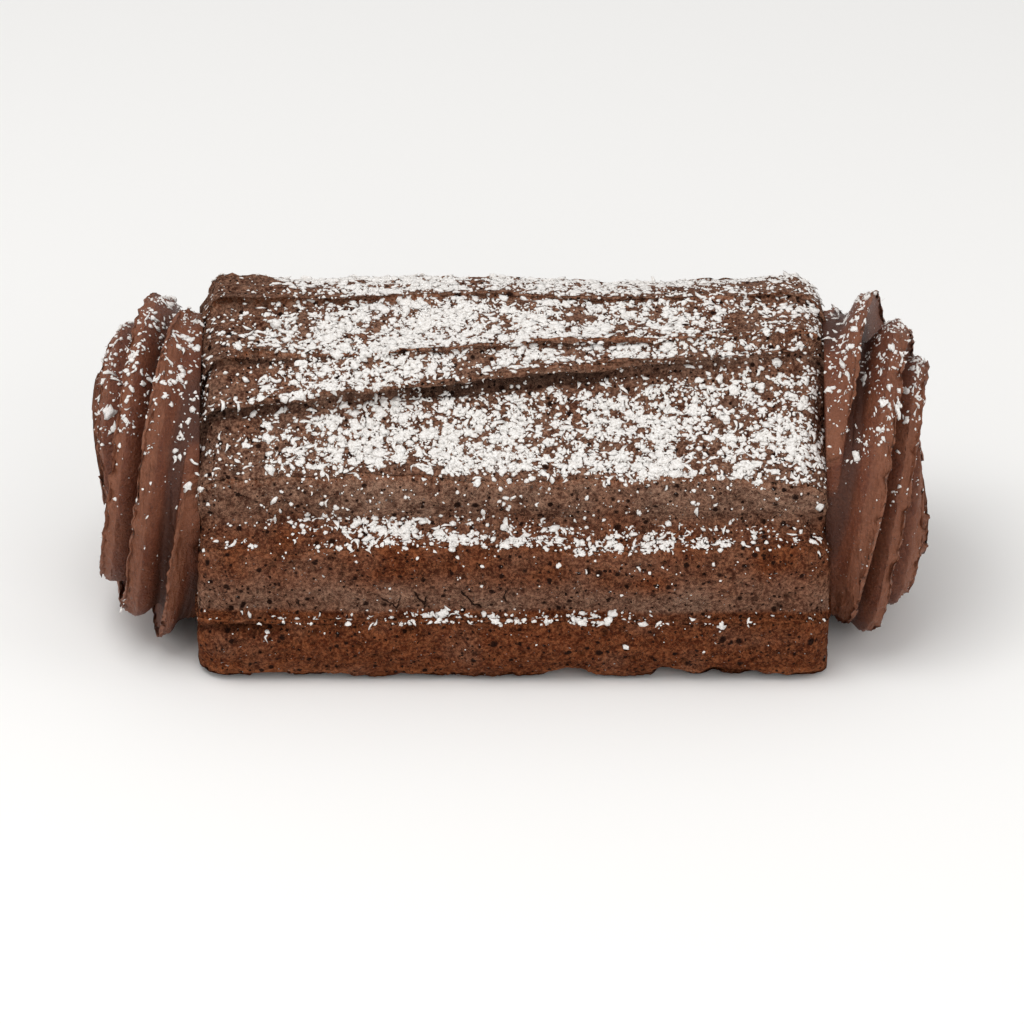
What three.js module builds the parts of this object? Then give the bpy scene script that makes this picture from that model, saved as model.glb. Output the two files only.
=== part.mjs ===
// A chocolate yule log: a sponge roll coated in chocolate buttercream, with a piped buttercream rosette on
// each end. The coat is laid in bands, so the log's section climbs in steps from the front over the top
// to the back: each band has a steep face and, above it, a shallower ledge.
// Millimetres, +Z up. X runs along the log, -Y is its front, and the origin is the middle of its flat base.
import * as THREE from 'three';

// Driving dimensions.
const BODY_LENGTH = 152; // the coated roll, without its rosettes
const ROSETTE_DEPTH = 27; // how far a rosette stands out from the end of the roll
const ROSETTE_RADIUS = 38.5;
const ROSETTE_HEIGHT = 39; // of a rosette's middle above the base
const JOIN_GAP = 0.3; // between the roll and a rosette

const CREAM_COLOUR = 0x62402c;
const ROSETTE_COLOUR = 0x5c3a29;

// The bands, from the front base over the top to the back base, each as [y, z] of its foot and its crest
// in the middle of the log. slide is how far the band has crept along the surface at the left end, the
// middle and the right end, positive towards the back, and stand is the share of its full step there.
// change is the share by which its step varies between them, undercut how deep its foot tucks in under it,
// and bulge how far its face swells out.
const EVEN = [1, 1, 1]; // stand of a band that states none
const SMALL_CHANGE = 0.1; // change of a band that states none
const FRONT_BANDS = [
  { foot: [-40.5, 0], crest: [-45, 19.8], slide: [0, 0, 0], bulge: 1.6 },
  { foot: [-43, 20.6], crest: [-43.8, 39], slide: [0.3, 0.2, -0.4], undercut: 0.5, bulge: 1 },
  { foot: [-37.8, 43.6], crest: [-37.6, 55.2], slide: [-0.4, -0.6, -1.4], undercut: 1, bulge: 0.6 },
  {
    foot: [-15.2, 69.6], crest: [-17, 74.2], slide: [-11.5, -2.3, 8],
    stand: [0.6, 1.1, 0.3], change: 0.2, bulge: 0.8,
  },
  {
    foot: [-11.8, 75.8], crest: [-11.8, 77.4], slide: [-5, 0, 5],
    stand: [0.3, 0.5, 0.9], change: 0.5, bulge: 0.3,
  },
  {
    foot: [2.8, 79.6], crest: [3.2, 81.4], slide: [1, 5, 3],
    stand: [1.2, 0.35, 0.5], change: 0.6, bulge: 0.3,
  },
];
const BACK_BANDS = [
  { foot: [22.4, 72.4], crest: [25.2, 76.6], slide: [-3, 0, 4], stand: [1.1, 0.8, 1], bulge: 1.4 },
  { foot: [38.4, 46], crest: [37.6, 57.8], slide: [1, 0, -1.5], undercut: 1.2, bulge: 0.6 },
  { foot: [42.6, 23], crest: [43.8, 39.6], slide: [-0.5, 0, 0.5], undercut: 1.2, bulge: 1 },
  { foot: [40.5, 0], crest: [45, 21.4], slide: [0, 0, 0], bulge: 1.6 },
];
const SECTION_MIDDLE = [0, 34]; // bands slide round this point
const LEDGE_SAG = 0.7; // how far a ledge dips between its ends
const FACE_STEPS = 3;
const LEDGE_STEP = 5; // longest run of ledge between two rows of points
const BASE_STEPS = 6;
const STATIONS = 40; // sections along the log
const WAVE = 0.8; // unevenness of the bands
const SWELL = 0.014; // share by which the log swells and narrows along its length
const SWELL_TRACK = 20;
const END_ROUNDING = 8; // radius of the coat's edge at each end
const REACH = 48; // of the coat from the middle of its base, on average
const END_ROWS = [0, 0.15, 0.5]; // rows of points across the rounding of an end, as shares of it

// Rosette: a ridged rope of cream piped round and inwards, so its ridges spiral from the rim to the middle.
const RIDGE_ENDS = [1, 0.8, 0.92, 0.74]; // where each ridge dies away, as a share of the way to the middle
const RIDGES = RIDGE_ENDS.length;
const RIDGE_TURN = THREE.MathUtils.degToRad(350); // a ridge's turn from rim to middle
const MIDDLE_CURL = THREE.MathUtils.degToRad(140); // how much more the ridges turn close to the middle
const RIDGE_HEIGHT = 12.5;
const RIDGE_LEAN = 3.2; // how far a ridge's edge hangs over the groove on its inner side
const RIDGE_STRAY = 0.12; // how far ridges stray from an even spacing
const RIDGE_CHANGE = 0.2; // share by which a ridge's height changes along it
const RIDGE_FLOOR = 0.45; // share of a ridge's height that lies under the rosette's own round form
const RIDGE_START = 0.24; // share of the way from rim to middle by which the ridges reach their height
const RIM_END = 0.11; // and where the rim's tuck ends
// Across a ridge, from its own edge at 0 out to the next ridge's at 1: a petal that dips a little and then
// dives into the groove, the groove's floor, and the hollow inner side of the next ridge.
const GROOVE = [0.64, 0.84]; // where the groove's floor begins and ends
const PETAL_SHARE = 0.55; // of the way to the groove that the petal takes up
const PETAL_DIP = 0.2; // how much of the ridge's height the petal loses on that way
const WALL_CURVE = 0.8; // of the ridge's inner side, below 1 for one that is steep at its foot
const RIDGE_STOPS = [0, 0.1, 0.25, 0.4, 0.52, 0.64, 0.84, 0.92]; // rows of points across a ridge
const RINGS = 42;
const LEAST_RADIUS = 0.3;
const ROUNDNESS = 0.78; // of the rosette's side seen from above, 1 for a half ellipse and less for squarer
const RIM_TUCK = 3.5; // how much smaller the rosette is where it meets the roll
const BUD_HEIGHT = 3; // of the curled middle above the hollow round it
const BUD_WIDTH = 0.13; // reach of the bud, as a share of the rosette's radius
const HOLLOW_DEPTH = 3.5;
const HOLLOW_PLACE = [0.3, 0.14]; // middle and reach of the hollow round the bud, as shares of the radius
const SWIRL_OFFSET = [3, -3.5]; // of the swirl's middle from the rosette's own
const LOWER_FULLNESS = 0.12; // how much further the rosette reaches into the two lower corners
const LIP_CALM = 0.7; // share of their height that the ridges lose underneath, where they were pressed flat
const ROSETTES = [
  { name: 'rosette_left', side: -1, track: 40, turned: 0.5 },
  { name: 'rosette_right', side: 1, track: 60, turned: 2.6 },
];

// A smooth uneven value of about -1 to 1 along t, different for each track.
function ripple(t, track) {
  const a = Math.sin(t * 0.083 + track * 1.7);
  const b = Math.sin(t * 0.171 + track * 4.1 + 1);
  const c = Math.sin(t * 0.367 + track * 2.3 + 2);
  return 0.5 * a + 0.3 * b + 0.2 * c;
}

// The value at x of a curve through three values: left end, middle and right end.
function through([left, middle, right], x) {
  const t = x / (BODY_LENGTH / 2);
  return middle + t * ((right - left) / 2 + t * ((right + left) / 2 - middle));
}

// A point of the section moved along the surface by a distance.
function slid([y, z], distance) {
  const arm = new THREE.Vector2(y - SECTION_MIDDLE[0], z - SECTION_MIDDLE[1]);
  arm.rotateAround(new THREE.Vector2(), -distance / arm.length());
  return new THREE.Vector2(arm.x + SECTION_MIDDLE[0], arm.y + SECTION_MIDDLE[1]);
}

// Points from a to b, without b, pushed out sideways by bow in the middle of the run.
function run(a, b, steps, bow) {
  const side = new THREE.Vector2(a.y - b.y, b.x - a.x).normalize();
  const points = [];
  for (let i = 0; i < steps; i++) {
    const t = i / steps;
    points.push(a.clone().lerp(b, t).addScaledVector(side, bow * Math.sin(Math.PI * t)));
  }
  return points;
}

// Foot and crest of a band at x. The foot is drawn towards the section's middle by the undercut. Each
// ledge keeps its width, because the crest below it and the foot above it wave together.
function bandAt(band, x, below, above) {
  const { stand = EVEN, change = SMALL_CHANGE, undercut = 0 } = band;
  const creep = through(band.slide, x);
  const step = through(stand, x) * (1 + change * ripple(x, below + 0.5));
  const onBase = band.foot[1] === 0;
  const foot = onBase ? new THREE.Vector2(...band.foot) : slid(band.foot, creep + WAVE * ripple(x, below));
  const crest = slid(band.crest, creep + WAVE * ripple(x, above));
  if (!onBase) crest.lerpVectors(foot, crest, step);
  const inward = new THREE.Vector2(...SECTION_MIDDLE).sub(foot).normalize();
  foot.addScaledVector(inward, undercut * step);
  return { foot, crest, bulge: band.bulge * step };
}

// The size of the section at x against its full size: rounded off at the ends, uneven between them.
function fullness(x) {
  const past = Math.max(0, Math.abs(x) - BODY_LENGTH / 2 + END_ROUNDING);
  const inset = END_ROUNDING - Math.sqrt(END_ROUNDING ** 2 - past ** 2);
  return 1 - inset / REACH - SWELL * (0.5 - 0.5 * ripple(x, SWELL_TRACK));
}

function ledgeSteps(from, to) {
  return Math.max(2, Math.ceil(Math.hypot(to[0] - from[0], to[1] - from[1]) / LEDGE_STEP));
}

// The closed outline of the roll at x, clockwise seen from +X.
function section(x) {
  const top = FRONT_BANDS.length;
  const front = FRONT_BANDS.map((band, i) => bandAt(band, x, i, i + 1));
  const back = BACK_BANDS.map((band, i) => bandAt(band, x, top + i + 2, top + i + 1));
  const outline = [];
  front.forEach((band, i) => {
    const next = front[i + 1] ? front[i + 1].foot : back[0].crest;
    const nextAtRest = FRONT_BANDS[i + 1] ? FRONT_BANDS[i + 1].foot : BACK_BANDS[0].crest;
    const sag = front[i + 1] ? -LEDGE_SAG : LEDGE_SAG; // over the top the coat is rounded, not dished
    outline.push(...run(band.foot, band.crest, FACE_STEPS, band.bulge));
    outline.push(...run(band.crest, next, ledgeSteps(FRONT_BANDS[i].crest, nextAtRest), sag));
  });
  back.forEach((band, i) => {
    const below = back[i + 1];
    outline.push(...run(band.crest, band.foot, FACE_STEPS, band.bulge));
    if (below) {
      const steps = ledgeSteps(BACK_BANDS[i].foot, BACK_BANDS[i + 1].crest);
      outline.push(...run(band.foot, below.crest, steps, -LEDGE_SAG));
    }
  });
  outline.push(...run(back[back.length - 1].foot, front[0].foot, BASE_STEPS, 0));
  const size = fullness(x);
  return outline.map((p) => new THREE.Vector3(x, p.x * size, p.y * size));
}

// One closed solid skinned over a row of closed loops, with a fan of triangles over each end loop.
// The loops run clockwise seen from the last one.
function skin(loops) {
  const ends = [loops[0], loops[loops.length - 1]];
  const middles = ends.map((loop) =>
    loop.reduce((sum, p) => sum.add(p), new THREE.Vector3()).divideScalar(loop.length),
  );
  const points = [...loops.flat(), ...middles];
  const size = loops[0].length;
  const index = [];
  for (let j = 0; j < size; j++) {
    const k = (j + 1) % size;
    for (let i = 0; i + 1 < loops.length; i++) {
      const a = i * size;
      const b = a + size;
      index.push(a + j, b + k, a + k, a + j, b + j, b + k);
    }
    const last = (loops.length - 1) * size;
    index.push(points.length - 2, j, k);
    index.push(points.length - 1, last + k, last + j);
  }
  const geometry = new THREE.BufferGeometry().setFromPoints(points);
  geometry.setIndex(index);
  return geometry;
}

// Sections along the roll, closer together where its ends are rounded.
function rollGeometry() {
  const half = BODY_LENGTH / 2;
  const straight = half - END_ROUNDING;
  const places = END_ROWS.map((share) => share * END_ROUNDING - half);
  for (let i = 0; i <= STATIONS; i++) places.push(straight * ((2 * i) / STATIONS - 1));
  places.push(...END_ROWS.map((share) => half - share * END_ROUNDING).reverse());
  return skin(places.map(section));
}

// How high the cream stands at w, from 0 at a ridge's own edge out to 1 at the next ridge's.
function ridgeShape(w) {
  const [start, end] = GROOVE;
  if (w > end) return ((w - end) / (1 - end)) ** WALL_CURVE;
  const out = Math.min(1, w / start);
  return (1 - PETAL_DIP * out) * (1 - THREE.MathUtils.smoothstep(out, PETAL_SHARE, 1));
}

// How far ridge number i has strayed from an even spacing, as a share of that spacing.
function stray(i, track) {
  return RIDGE_STRAY * Math.sin(track + (i % RIDGES) * 2.4);
}

// The height of ridge number i at t.
function ridgeHeight(i, t, track) {
  const number = i % RIDGES;
  const start = Math.min(1, t / RIDGE_START);
  const end = THREE.MathUtils.smoothstep(RIDGE_ENDS[number] - t, -0.06, 0.2);
  return RIDGE_HEIGHT * start * end * (1 + RIDGE_CHANGE * ripple(t * ROSETTE_RADIUS, track + number));
}

// How far the rosette stands out at a radius, beyond its round form: a bud in a hollow.
function budHeight(radius) {
  const share = radius / ROSETTE_RADIUS;
  const [place, reach] = HOLLOW_PLACE;
  const hollow = HOLLOW_DEPTH * Math.exp(-(((share - place) / reach) ** 2));
  return BUD_HEIGHT * Math.exp(-((share / BUD_WIDTH) ** 2)) - hollow;
}

// One ring of a rosette, t from 0 at the back of its rim to 1 in the middle of the swirl. The ring lies
// round local Z, which points outwards from the roll.
function rosetteRing(t, { track, turned }) {
  const rise = (Math.PI / 2) * t;
  const radius = ROSETTE_RADIUS * Math.cos(rise) ** ROUNDNESS - RIM_TUCK * Math.max(0, 1 - t / RIM_END);
  const stands = (ROSETTE_DEPTH - RIDGE_HEIGHT * (1 - RIDGE_FLOOR)) * Math.sin(rise) ** ROUNDNESS;
  const depth = stands + budHeight(radius) * Math.sin(rise);
  const ring = [];
  for (let ridge = 0; ridge < RIDGES; ridge++) {
    for (const w of RIDGE_STOPS) {
      const own = w < GROOVE[1] ? ridge : ridge + 1; // the ridge that this row of points climbs
      const crest = ridgeShape(w);
      const place = ridge + w + stray(ridge, track) * (1 - w) + stray(ridge + 1, track) * w;
      const turn = turned - (2 * Math.PI * place) / RIDGES - RIDGE_TURN * t - MIDDLE_CURL * t ** 6;
      const lip = LIP_CALM * Math.max(0, -Math.sin(turn)) ** 2 * (1 - t) ** 2;
      const out = ridgeHeight(own, t, track) * (1 - lip) * (crest - RIDGE_FLOOR);
      const lean = -RIDGE_LEAN * crest ** 2 * Math.sin(2 * rise);
      const corner = Math.sin(turn) < 0 ? LOWER_FULLNESS * Math.sin(2 * turn) ** 2 : 0;
      const r = Math.max(LEAST_RADIUS, (radius + out * Math.cos(rise) + lean) * (1 + corner));
      const x = SWIRL_OFFSET[0] * t + r * Math.cos(turn);
      const y = Math.max(SWIRL_OFFSET[1] * t + r * Math.sin(turn), -ROSETTE_HEIGHT); // flat where it rests
      ring.push(new THREE.Vector3(x, y, depth + out * Math.sin(rise)));
    }
  }
  return ring;
}

function rosetteGeometry(rosette) {
  const rings = [];
  for (let i = 0; i < RINGS; i++) rings.push(rosetteRing(i / RINGS, rosette));
  return skin(rings);
}

const cream = new THREE.MeshStandardMaterial({ color: CREAM_COLOUR, roughness: 0.85, metalness: 0 });
const pipedCream = new THREE.MeshStandardMaterial({ color: ROSETTE_COLOUR, roughness: 0.6, metalness: 0 });

function placed(name, geometry, material) {
  const mesh = new THREE.Mesh(geometry, material);
  mesh.name = name;
  return mesh;
}

const cake = new THREE.Group();
cake.add(placed('roll', rollGeometry(), cream));
for (const rosette of ROSETTES) {
  const mesh = placed(rosette.name, rosetteGeometry(rosette), pipedCream);
  // The rosette's own +Z faces outwards along X, and its own +Y stands upright.
  const outwards = new THREE.Vector3(rosette.side, 0, 0);
  const upright = new THREE.Vector3(0, 0, 1);
  const across = upright.clone().cross(outwards);
  mesh.rotation.setFromRotationMatrix(new THREE.Matrix4().makeBasis(across, upright, outwards));
  mesh.position.set(rosette.side * (BODY_LENGTH / 2 + JOIN_GAP), 0, ROSETTE_HEIGHT);
  cake.add(mesh);
}

export default cake;
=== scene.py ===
"""A chocolate yule log: a sponge roll coated in bands of chocolate buttercream, a piped rosette on each
end, and a dusting of icing sugar. It stands on a plain pale floor. Metres, +Z up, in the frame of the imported
model; shapes are worked out in millimetres and scaled once."""

import math

import bpy
import numpy as np
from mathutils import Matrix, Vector, noise
from mathutils.bvhtree import BVHTree


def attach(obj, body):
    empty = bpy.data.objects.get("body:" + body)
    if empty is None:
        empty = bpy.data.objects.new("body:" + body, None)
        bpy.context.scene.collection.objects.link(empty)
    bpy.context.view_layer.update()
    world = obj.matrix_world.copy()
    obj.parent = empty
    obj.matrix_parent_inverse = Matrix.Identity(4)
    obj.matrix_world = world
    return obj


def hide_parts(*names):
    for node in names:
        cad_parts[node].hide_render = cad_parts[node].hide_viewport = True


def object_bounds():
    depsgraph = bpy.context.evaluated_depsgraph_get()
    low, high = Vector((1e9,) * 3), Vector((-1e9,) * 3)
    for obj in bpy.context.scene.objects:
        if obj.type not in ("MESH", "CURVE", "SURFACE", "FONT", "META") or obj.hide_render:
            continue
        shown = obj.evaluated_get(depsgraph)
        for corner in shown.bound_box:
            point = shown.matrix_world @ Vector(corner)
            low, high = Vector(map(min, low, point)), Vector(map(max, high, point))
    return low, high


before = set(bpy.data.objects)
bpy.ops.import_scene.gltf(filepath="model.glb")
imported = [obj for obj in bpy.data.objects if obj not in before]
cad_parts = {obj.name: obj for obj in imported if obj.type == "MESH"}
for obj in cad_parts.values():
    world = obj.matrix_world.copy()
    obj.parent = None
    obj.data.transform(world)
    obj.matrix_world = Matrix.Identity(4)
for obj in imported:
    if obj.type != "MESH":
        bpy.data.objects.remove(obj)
cad_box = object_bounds()
bpy.ops.object.select_all(action="DESELECT")
MM = 0.001

# ---- Camera -------------------------------------------------------------------------------------------
# A long lens, as for a pack shot: it looks at the log's middle from its front, 30 degrees down.
CAMERA_PITCH = math.radians(30)
CAMERA_DISTANCE = 1.446
CAMERA_LENS, CAMERA_SENSOR = 211, 36
CAMERA_REACH = 20
AIM = Vector((-0.0002, -0.014, 0.0313))

away = Vector((0, -math.cos(CAMERA_PITCH), math.sin(CAMERA_PITCH)))
bpy.ops.object.camera_add(location=AIM + away * CAMERA_DISTANCE)
camera = bpy.context.object
camera.rotation_euler = (-away).to_track_quat("-Z", "Y").to_euler()
camera.data.lens = CAMERA_LENS
camera.data.sensor_width = CAMERA_SENSOR
camera.data.clip_end = CAMERA_REACH
bpy.context.scene.camera = camera

# ---- Coat ---------------------------------------------------------------------------------------------
# Chocolate buttercream spread round a rolled sponge in lengthwise bands. Each band was drawn on with a flat
# nozzle and overlaps the one before it, so it ends in an edge above a shallow ledge. The cream is whipped
# and has set, so its faces are porous and crumbly.
BODY_LENGTH = 152.0
HALF_LENGTH = BODY_LENGTH / 2
EVEN = (1, 1, 1)
# Each band's foot and crest as (y, z) in the middle of the log, and how far it has crept over the log towards
# the back at its left end, middle and right end. stand is the share of its full step at those places, change
# how much that varies along it, undercut how deep its foot tucks in, and bulge how far its face swells out.
FRONT_BANDS = [
    dict(foot=(-40.5, 0), crest=(-45, 19.8), slide=(0, 0, 0), bulge=1.6),
    dict(foot=(-43, 20.6), crest=(-43.8, 39), slide=(0.3, 0.2, -0.4), undercut=0.5, bulge=1),
    dict(foot=(-37.8, 43.6), crest=(-37.6, 55.2), slide=(-0.4, -0.6, -1.4), undercut=1, bulge=0.6),
    dict(
        foot=(-15.2, 69.6), crest=(-17, 74.2), slide=(-11.5, -2.3, 8),
        stand=(0.6, 1.1, 0.3), change=0.2, bulge=0.8,
    ),
    dict(
        foot=(-11.8, 75.8), crest=(-11.8, 77.4), slide=(-5, 0, 5),
        stand=(0.3, 0.5, 0.9), change=0.5, bulge=0.3,
    ),
    dict(
        foot=(2.8, 79.6), crest=(3.2, 81.4), slide=(1, 5, 3),
        stand=(1.2, 0.35, 0.5), change=0.6, bulge=0.3,
    ),
]
BACK_BANDS = [
    dict(foot=(22.4, 72.4), crest=(25.2, 76.6), slide=(-3, 0, 4), stand=(1.1, 0.8, 1), bulge=1.4),
    dict(foot=(38.4, 46), crest=(37.6, 57.8), slide=(1, 0, -1.5), undercut=1.2, bulge=0.6),
    dict(foot=(42.6, 23), crest=(43.8, 39.6), slide=(-0.5, 0, 0.5), undercut=1.2, bulge=1),
    dict(foot=(40.5, 0), crest=(45, 21.4), slide=(0, 0, 0), bulge=1.6),
]
SECTION_MIDDLE = np.array((0.0, 34.0))
LEDGE_SAG = 0.7
WAVE = 0.8  # how far an edge wanders to either side
STAND_CHANGE = 0.1  # change of a band that states none
SWELL, SWELL_TRACK = 0.014, 20  # share by which the section's size varies along the log
END_ROUNDING, REACH = 8.0, 48.0  # REACH is how far the outline is from the section's middle
FAR = 99  # stands for the distance to an edge or crease that a run of rows doesn't have

FRONT_STEP, BACK_STEP, BASE_STEP = 0.6, 0.85, 6.0  # between rows of points round the section
STATION_STEP = 0.62  # between sections along the log
END_STATIONS = 9  # sections across the rounding of an end
END_SHARES = (0.985, 0.965, 0.94, 0.91, 0.87, 0.82, 0.74, 0.5, 0)  # rings across an end face
END_MIDDLE = (0.0, 38.0)  # of an end face, as (y, z)
SUGAR_ROOM = 0.9  # the coat lies this much inside the solid, to leave room for the sugar on it
OCTAVE_FADE, OCTAVE_SHRINK = 0.8, 2.0  # each octave is SHRINK times finer and SHRINK**FADE times weaker
MERGED_WITHIN = 0.002 * MM


def ripple(t, track):
    """A smooth uneven value from -1 to 1 along t, different for each track."""
    long = np.sin(t * 0.083 + track * 1.7)
    medium = np.sin(t * 0.171 + track * 4.1 + 1)
    short = np.sin(t * 0.367 + track * 2.3 + 2)
    return 0.5 * long + 0.3 * medium + 0.2 * short


def through(values, x):
    """The value at x of a curve through three values: left end, middle and right end."""
    left, middle, right = values
    t = x / HALF_LENGTH
    return middle + t * ((right - left) / 2 + t * ((right + left) / 2 - middle))


def slid(point, distance):
    """A point of the section moved by each of some distances round the log, over its top to the back."""
    arm = np.array(point) - SECTION_MIDDLE
    turn = -distance / np.hypot(*arm)
    y = arm[0] * np.cos(turn) - arm[1] * np.sin(turn)
    z = arm[0] * np.sin(turn) + arm[1] * np.cos(turn)
    return np.stack((y, z), -1) + SECTION_MIDDLE


def band_at(band, x, below, above):
    """Foot, crest and bulge of a band at each x. Its foot and crest wander on the tracks below and above."""
    creep = through(band["slide"], x)
    change = band.get("change", STAND_CHANGE) * ripple(x, below + 0.5)
    step = through(band.get("stand", EVEN), x) * (1 + change)
    on_base = band["foot"][1] == 0
    foot = slid(band["foot"], 0 * x if on_base else creep + WAVE * ripple(x, below))
    crest = slid(band["crest"], creep + WAVE * ripple(x, above))
    if not on_base:
        crest = foot + (crest - foot) * step[:, None]
    inward = SECTION_MIDDLE - foot
    inward /= np.linalg.norm(inward, axis=1, keepdims=True)
    foot = foot + inward * (band.get("undercut", 0) * step)[:, None]
    return foot, crest, band["bulge"] * step[:, None]


def run(a, b, steps, bow):
    """Rows of points from a to b, without b, pushed out sideways by bow in the middle of the run."""
    side = np.stack((a[:, 1] - b[:, 1], b[:, 0] - a[:, 0]), -1)
    side /= np.linalg.norm(side, axis=1, keepdims=True)
    t = (np.arange(steps) / steps)[:, None, None]
    return a + (b - a) * t + side * bow * np.sin(math.pi * t)


def fullness(x):
    """The size of the section at x against its full size."""
    past = np.maximum(0, np.abs(x) - HALF_LENGTH + END_ROUNDING)
    inset = END_ROUNDING - np.sqrt(np.maximum(0, END_ROUNDING**2 - past**2))
    return 1 - inset / REACH - SWELL * (0.5 - 0.5 * ripple(x, SWELL_TRACK))


def laid(a, b, step, bow, lies_on, at_edge):
    """The rows of a run from a to b, and for each row what it lies on and how far it is from the nearest edge
    and crease. at_edge says which ends of the run are edges, the others being creases."""
    middle = len(a) // 2
    length = math.dist(a[middle], b[middle])
    steps = max(2, math.ceil(length / step))
    tags = []
    for t in np.arange(steps) / steps:
        near = (t * length, (1 - t) * length)
        to_edge = min([d for d, edge in zip(near, at_edge) if edge] or [FAR])
        to_crease = min([d for d, edge in zip(near, at_edge) if not edge] or [FAR])
        tags.append((*lies_on, to_edge, to_crease))
    return run(a, b, steps, bow), tags


def coat_rows(x):
    """The coat's section at each x as rows of (y, z), and what each row lies on: the number of its band from
    the front base, 1 on a face and 0 on a ledge, and how far it is from the nearest edge and crease."""
    top = len(FRONT_BANDS)
    front = [band_at(band, x, i, i + 1) for i, band in enumerate(FRONT_BANDS)]
    back = [band_at(band, x, top + i + 2, top + i + 1) for i, band in enumerate(BACK_BANDS)]
    runs = []
    for i, (foot, crest, bulge) in enumerate(front):
        last = i + 1 == len(front)
        onward = back[0][1] if last else front[i + 1][0]
        runs.append(laid(foot, crest, FRONT_STEP, bulge, (i, 1), (False, True)))
        # Ledges sag, but the cream between the last front band and the first one at the back swells.
        bow = LEDGE_SAG if last else -LEDGE_SAG
        runs.append(laid(crest, onward, FRONT_STEP, bow, (i, 0), (True, last)))
    for i, (foot, crest, bulge) in enumerate(back):
        runs.append(laid(crest, foot, BACK_STEP, bulge, (top + i, 1), (True, False)))
        if i + 1 < len(back):
            runs.append(laid(foot, back[i + 1][1], BACK_STEP, -LEDGE_SAG, (top + i, 0), (False, True)))
    runs.append(laid(back[-1][0], front[0][0], BASE_STEP, 0, (-1, 0), (True, True)))
    rows, tags = zip(*runs)
    return np.concatenate(rows), np.concatenate(tags)


def sheet_of(name, points, attributes):
    """A new piece: a grid laid flat, then shaped to rows of points, the last row joined to the first. It
    stores a number for each point under each attribute's name."""
    rows, columns = points.shape[:2]
    bpy.ops.mesh.primitive_grid_add(x_subdivisions=columns - 1, y_subdivisions=rows, size=1)
    piece = bpy.context.object
    piece.name = piece.data.name = name
    piece.data.vertices.foreach_set("co", (np.concatenate((points, points[:1])) * MM).ravel())
    for key, values in attributes.items():
        values = np.broadcast_to(values, (rows, columns))
        stored = piece.data.attributes.new(key, "FLOAT", "POINT")
        stored.data.foreach_set("value", np.concatenate((values, values[:1])).ravel())
    piece.data.update()
    return piece


def close_up(piece):
    """Merges the sheet's meeting edges and poles, and turns its faces outwards."""
    bpy.ops.object.select_all(action="DESELECT")
    bpy.context.view_layer.objects.active = piece
    piece.select_set(True)
    bpy.ops.object.mode_set(mode="EDIT")
    bpy.ops.mesh.select_all(action="SELECT")
    bpy.ops.mesh.remove_doubles(threshold=MERGED_WITHIN)
    bpy.ops.mesh.normals_make_consistent(inside=False)
    bpy.ops.object.mode_set(mode="OBJECT")
    bpy.ops.object.shade_smooth()
    piece.select_set(False)


def outward(points):
    """Unit normals of a grid of points whose last row joins its first, facing away from its middle."""
    down = np.roll(points, -1, 0) - np.roll(points, 1, 0)
    normal = np.cross(np.gradient(points, axis=1), down)
    normal /= np.maximum(np.linalg.norm(normal, axis=2, keepdims=True), 1e-9)
    middle = points.reshape(-1, 3).mean(0)
    return normal if (normal * (points - middle)).sum() > 0 else -normal


def lumps(points, size, octaves=1, stretch=EVEN, at=0):
    """Smooth noise of about -1 to 1 at each point of a grid, with lumps of a size in millimetres, or of that
    size times stretch along each axis. More octaves add finer ones, and another value of at gives others."""
    scaled = ((points + at) / (size * np.array(stretch))).reshape(-1, 3).tolist()
    if octaves == 1:
        values = [noise.noise(p) for p in scaled]
    else:
        values = [noise.fractal(p, OCTAVE_FADE, OCTAVE_SHRINK, octaves) for p in scaled]
    return np.array(values).reshape(points.shape[:2])


def smooth_step(start, end, value):
    """Goes smoothly from 0, where a value is at start, to 1, where it is at end. Start may be above end."""
    t = np.clip((value - start) / (end - start), 0, 1)
    return t * t * (3 - 2 * t)


def hump(value, middle, width, power=2):
    """1 where a value is at the middle, and about a third where it is a width away from that. A higher power
    makes its top flatter and its sides steeper."""
    return np.exp(-(((value - middle) / width) ** power))


straight = HALF_LENGTH - END_ROUNDING
middle_x = np.linspace(-straight, straight, round(2 * straight / STATION_STEP))
round_x = straight + END_ROUNDING * np.sin(np.linspace(0, math.pi / 2, END_STATIONS + 1)[1:])
station_x = np.concatenate((-round_x[::-1], middle_x, round_x))
outline, tags = coat_rows(station_x)
outline = outline * fullness(station_x)[None, :, None]
station_x = np.broadcast_to(station_x, outline.shape[:2])
body = np.concatenate((station_x[..., None], outline), -1)

# Rings of points across each end face, from its outline to its middle.
ends = []
for end_outline in (body[:, 0], body[:, -1]):
    ring = np.repeat(end_outline[:, None], len(END_SHARES), 1)
    ring[..., 1:] = END_MIDDLE + (ring[..., 1:] - END_MIDDLE) * np.array(END_SHARES)[None, :, None]
    ends.append(ring)
body = np.concatenate((ends[0][:, ::-1], body, ends[1]), 1)
x_at, y_at, z_at = body[..., 0], body[..., 1], body[..., 2]
band_of, face, to_edge, to_crease = (tags[:, i][:, None] * np.ones((1, body.shape[1])) for i in range(4))
ledge = 1 - face
resting = band_of < 0
lowest_face = (band_of == 0) * face

# What follows is placed by x along the log, and by height: in its middle the third band's crest is 55 mm up,
# the fourth's 74, the fifth's 77 and the sixth's 81, and a crevice slants up under the fourth.

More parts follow.
